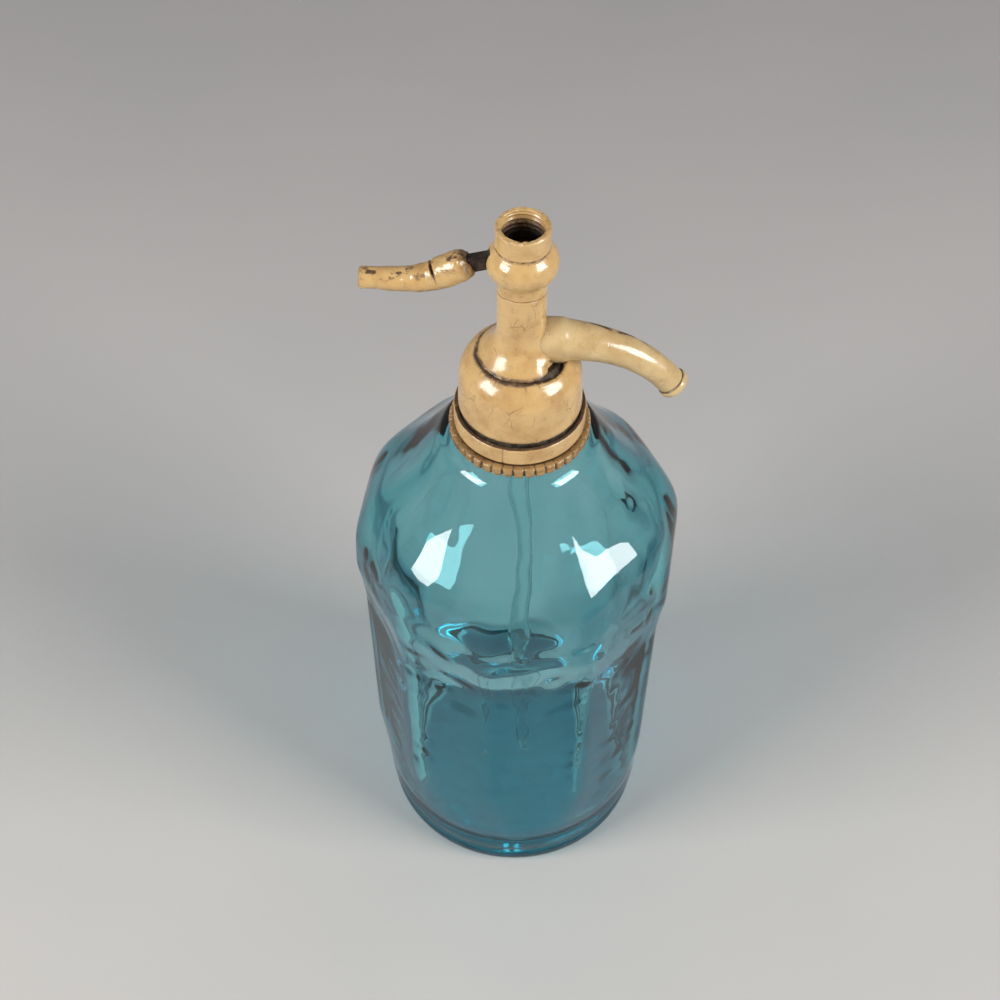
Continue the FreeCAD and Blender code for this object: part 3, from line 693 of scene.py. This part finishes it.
def make_band():
    z0, z1 = low("collar_band")[2], high("collar_band")[2]
    bore_r = 20.3
    outline = [(bore_r, z0), (BAND_R + 0.05, z0), (BAND_R, z1 - 0.3), (BAND_R - 0.3, z1), (bore_r, z1)]

    def seamed(r, z, turn):
        seam = near_turn(turn, BAND_SEAM_TURN, 0.35 / BAND_R)
        return r - 0.25 * seam * (r > 21) + 0.06 * wobble(ring_points(r, turn, z), 6, 14), z

    def darkening(points, r):
        z = points[..., 2]
        rough = half_wobble(points, 2.0, 15)
        edges = np.maximum(step_up(z0 + 0.7 - z, 0, 0.6), step_up(z, z1 - 0.5, z1)) * 0.7
        seam = near_turn(turn_of(points), BAND_SEAM_TURN, 0.3 / BAND_R) * 0.5
        # Painted shade on the bore and the inner parts of the top and bottom faces, in the gaps to the bell
        # and the collar, mottled by noise.
        return np.maximum(edges * rough, seam) + (r < 21.7) * (0.35 + 0.4 * rough)

    piece = moulding("band_cover", outline, 0.3, 0.22, 360, seamed, darkening)
    place(piece, "root", "collar_band")


def make_collar(node, centre, name):
    """Half of the split ring: notched flange below, sleeve above, whose thread is not drawn."""
    z0, z1 = low(node)[2], high(node)[2]
    bore_r, sleeve_r, flange_r = 15.8, 18.6, 23.8
    notch_turn, split_gap, split_r = 9.0, 0.25, 20
    flange_z = z0 + 3.8
    outline = [(bore_r, z0), (flange_r - 0.5, z0), (flange_r, z0 + 0.5), (flange_r, flange_z - 0.4)]
    outline += [(flange_r - 0.4, flange_z), (sleeve_r, flange_z), (sleeve_r, z1), (bore_r, z1)]
    path = soften(outline, 0.4, 0.2, closed=True)
    half = math.pi / 2 - split_gap / split_r
    turn = np.linspace(-half, half, 260)[None, :] + math.radians(centre)
    r = np.repeat(path[:, :1], turn.shape[1], 1)
    z = np.repeat(path[:, 1:2], turn.shape[1], 1)
    turn = turn + 0 * r
    points = ring_points(r, turn, z)
    notch = np.abs(((np.degrees(turn) / notch_turn) % 1) - 0.5) * 2
    lump = 0.8 + 0.5 * wobble(points, 5, 16)
    r = r - step_up(r, 22.4, 23.3) * step_up(0.3 - notch, 0, 0.18) * 0.95 * lump
    r = r - step_up(r, 22.6, 23.6) * np.maximum(rough_noise(points, 3.0, 5), 0) * 0.35
    grid = ring_points(r, turn, z)
    on_foot = step_up(z0 + 0.7 - z, 0, 0.6) * half_wobble(points, 1.8, 17)
    # Painted shade, full, on the sleeve and the inner flange top under the band; the notches are darkened by
    # half, and the foot has patchy dirt.
    grime_and_shade = step_up(0.34 - notch, 0, 0.2) * 0.5 + (r < 21.5) * (z > flange_z - 0.6) * 1.0 + on_foot
    piece = surface(name, grid.transpose(1, 0, 2), COLLAR_CREAM, caps=(0, -1), grime_and_shade=grime_and_shade.T)
    place(piece, "root", node)


# Spout and lever

def swept(name, centres, radii, material, segments, shape, darkening):
    """Round sweep along centres in the XZ plane. shape gives the radius anew, and dirt the grime, from the
    share of the way along and the turn about the line of centres."""
    run = np.gradient(centres, axis=0)
    run /= np.linalg.norm(run, axis=1)[:, None]
    across = np.array((0.0, 1.0, 0.0))[None, :] + 0 * run
    up = np.cross(run, across)
    share = np.linspace(0, 1, len(centres))[:, None] + 0 * circle(segments)
    turn = circle(segments) + 0 * share
    r = shape(radii[:, None] + 0 * turn, share, turn)
    sideways = across[:, None] * (r * np.cos(turn))[..., None]
    grid = centres[:, None] + sideways + up[:, None] * (r * np.sin(turn))[..., None]
    return surface(name, grid, material, caps=(0, -1), grime_and_shade=darkening(grid, share, turn))


def spout_direction():
    """Direction of the spout past its bend."""
    return np.array((math.cos(math.radians(SPOUT_BEND)), 0, -math.sin(math.radians(SPOUT_BEND))))


def spout_line(extra):
    """Centre line of the spout from the neck to a length past the end of its bend."""
    z = high("spout_pipe")[2] - PIPE_R
    points = [(x, 0, z) for x in np.linspace(SPOUT_START_X, SPOUT_BEND_X, 8)[:-1]]
    for t in np.radians(np.linspace(0, SPOUT_BEND, 60)):
        points.append((SPOUT_BEND_X + SPOUT_BEND_R * math.sin(t), 0, z - SPOUT_BEND_R * (1 - math.cos(t))))
    end = np.array(points[-1])
    points += [tuple(end + spout_direction() * s) for s in np.linspace(0.5, extra, 6)]
    return np.array(points)


def make_spout():
    line = spout_line(3.6)
    s = along_of(line)
    radii = np.interp(s, [0, 4, 10.6, 20, 28.5, 37.5, 48, s[-1]], [5.6, 6.5, 6.5, 6.1, 5.5, 5.1, 4.8, 4.75])

    def lumpy(r, share, turn):
        place_at = np.stack([share * 50, r * np.cos(turn), r * np.sin(turn)], -1)
        root = 1.5 * np.exp(-(np.maximum(share * s[-1] - 4.8, 0) / 2.4)) * np.abs(np.sin(turn)) ** 1.5
        return r + root + 0.12 * wobble(place_at, 6, 21)

    def trail(points, share, turn):
        """A line of dirt along the top, with a smear beside it."""
        rough = rough_noise(points, 3.2, 22)
        line_at = near_turn(turn, TRAIL_TURN + 8 * np.sin(share * 19), 0.16)
        middle = step_up(share, 0.2, 0.3) * step_up(1.0 - share, 0.28, 0.4)
        smear = near_turn(turn, TRAIL_TURN - 14, 0.3) * middle * step_up(rough, 0.1, 0.5) * 0.4
        return np.maximum(line_at * middle * step_up(rough, -0.5, 0.0), smear)

    piece = swept("spout_sleeve", line, radii, SPOUT_CREAM, 96, lumpy, trail)
    place(piece, "root", "spout_cover")


def make_nozzle():
    """Rounded bead at the outlet with the open bore of the pipe in it."""
    end = spout_line(6.6)[-1]
    along = spout_direction()
    across = np.array((0, 1, 0))
    up = np.cross(along, across)
    outline = [(3.4, -3.0), (4.8, -3.0), (5.2, -2.6), (5.4, -1.8), (5.3, -0.9), (4.9, -0.2), (4.3, 0)]
    outline += [(3.6, -0.1), (3.4, -0.4)]
    path = soften(outline, 0.2, 0.2, closed=True)
    turn = circle(96)

    def rings(r):
        sideways = across * (r * np.cos(turn))[..., None]
        return end + along * path[:, 1:2, None] + sideways + up * (r * np.sin(turn))[..., None]

    r = path[:, :1] + 0 * turn
    r = r + 0.12 * wobble(rings(r), 2.5, 23)
    # Painted shade on the inside of the bore; the foot where the bead meets the sleeve is dark as a joint.
    grime_and_shade = step_up(-2.4 - path[:, 1:2], 0, 0.5) * 0.8 + (path[:, :1] < 4.0) * 0.8 + 0 * turn
    piece = surface("spout_lip", rings(r), SPOUT_CREAM, closed=True, grime_and_shade=grime_and_shade)
    place(piece, "root", "spout_nozzle")


def crack_line(share, turn, width):
    """The crack across the grip, which bends as it goes round."""
    return np.exp(-((share - CRACK_SHARE - 0.012 * np.cos(turn)) / width) ** 2)


def make_grip():
    stations = np.array(GRIP)
    s = along_of(stations[:, :2])
    even = np.linspace(0, s[-1], GRIP_STEPS)
    x = np.interp(even, s, stations[:, 0])
    z = np.interp(even, s, stations[:, 1])
    line = np.stack([PIVOT[0] + x, 0 * x, PIVOT[2] + z], 1)
    line = soften(line, s[-1] / GRIP_STEPS, 1.2)
    radii = np.interp(np.linspace(0, s[-1], len(line)), s, stations[:, 2])

    def broken(r, share, turn):
        place_at = np.stack([share * 36, r * np.cos(turn), r * np.sin(turn)], -1)
        top = near_turn(turn, CRACK_TURN, 1.0)
        crack = crack_line(share, turn, 0.012) * top
        knuckle = np.exp(-((share - 0.37) / 0.06) ** 2) * top * 0.7
        ends = step_up(share, 0.93, 1.0) + step_up(0.06 - share, 0, 0.06)
        ragged = rough_noise(place_at, 1.6, 31) * ends * 0.5
        r = r + 0.28 * wobble(place_at, 5, 32) + 0.1 * rough_noise(place_at, 2.2, 33)
        return r - 1.5 * crack - knuckle + ragged

    def darkening(points, share, turn):
        top = near_turn(turn, CRACK_TURN + 10, 0.8)
        streak = step_up(rough_noise(points * np.array([0.5, 1, 1]), 1.6, 35), 0.0, 0.5)
        crack = crack_line(share, turn, 0.014) * top
        ends = step_up(0.1 - share, 0, 0.1) * 0.8 + step_up(share, 0.95, 1) * 0.5
        ends = ends * (0.3 + half_wobble(points, 1.5, 34)) * 0.8
        return np.maximum(np.maximum(top * streak * 0.8, crack * 1.4), ends)

    piece = swept("lever_handle", line, radii, GRIP_CREAM, 80, broken, darkening)
    place(piece, "lever", "lever_grip")


# CAD nodes that are shown as they are

def finish_nodes():
    finishes = [
        (CORE_METAL, ("head_core", "spout_pipe")),
        (LEVER_STEEL, ("lever_core", "lever_pin", "spring")),
        (BRASS, ("spring_retainer", "lift_stirrup", "plunger", "valve_screw", "valve_seat", "tube_ferrule")),
        (RUBBER, ("valve_rubber", "piston_seal", "tube_washer", "neck_gasket")),
        (TUBE_GLASS, ("dip_tube",)),
    ]
    for material, nodes in finishes:
        for node in nodes:
            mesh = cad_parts[node].data
            mesh.materials.clear()
            mesh.materials.append(material)


# Stage

def make_floor():
    p = Paint("stage_floor")
    # Painted shade: the floor grows darker away from the camera, standing in for the fall of the lamps'
    # light.
    colour = p.mix(p.ramp(p.axis("Y"), -380, 620), srgb(180, 177, 173), srgb(166, 162, 161))
    cloud = p.patches(190, 3, 0.35, 0.7, 0.5)
    colour = p.mix(p.times(cloud, 0.12), colour, srgb(140, 147, 144))
    h = FLOOR_HALF
    mesh = bpy.data.meshes.new("floor")
    mesh.from_pydata([(-h, -h, 0), (h, -h, 0), (h, h, 0), (-h, h, 0)], [], [(0, 1, 2, 3)])
    mesh.materials.append(p.finish(Base_Color=colour, Roughness=0.85, Specular_IOR_Level=0.1))
    add_object("floor", mesh)


def softbox(name, direction):
    """Square lamp in a direction from LAMP_AIM, turned towards it."""
    target = Vector(LAMP_AIM)
    light = bpy.data.lights.new(name, "AREA")
    light.shape = "RECTANGLE"
    light.size = LAMP_SIZE
    light.size_y = LAMP_SIZE
    light.energy = LAMP_POWER
    lamp = add_object(name, light)
    lamp.location = target + Vector(direction).normalized() * LAMP_DISTANCE
    lamp.rotation_euler = (target - lamp.location).to_track_quat("-Z", "Y").to_euler()


def make_lights():
    softbox("softbox_left", (-0.79, -0.42, 0.46))
    softbox("softbox_right", (0.82, -0.38, 0.46))
    world = bpy.data.worlds.new("studio")
    world.use_nodes = True
    background = world.node_tree.nodes["Background"]
    background.inputs["Color"].default_value = WORLD_COLOUR
    background.inputs["Strength"].default_value = WORLD_STRENGTH
    bpy.context.scene.world = world


def make_camera():
    data = bpy.data.cameras.new("camera")
    data.sensor_width = SENSOR
    data.lens = FOCAL_PX / FRAME_PX * SENSOR
    camera = add_object("camera", data)
    yaw = Matrix.Rotation(math.radians(CAM_YAW), 4, "Z")
    pitch = Matrix.Rotation(math.radians(90 - CAM_PITCH), 4, "X")
    roll = Matrix.Rotation(math.radians(CAM_ROLL), 4, "Z")
    camera.matrix_world = Matrix.Translation(Vector(CAM_PLACE) * MM) @ (yaw @ pitch @ roll)
    bpy.context.scene.camera = camera


def main():
    bpy.context.scene.view_settings.view_transform = "Standard"
    make_bottle()
    make_bell()
    make_neck()
    make_housing()
    make_mouth()
    make_band()
    make_collar("collar_half_front", -90, "collar_front")
    make_collar("collar_half_back", 90, "collar_back")
    make_spout()
    make_nozzle()
    make_grip()
    finish_nodes()
    make_floor()
    make_lights()
    make_camera()


main()
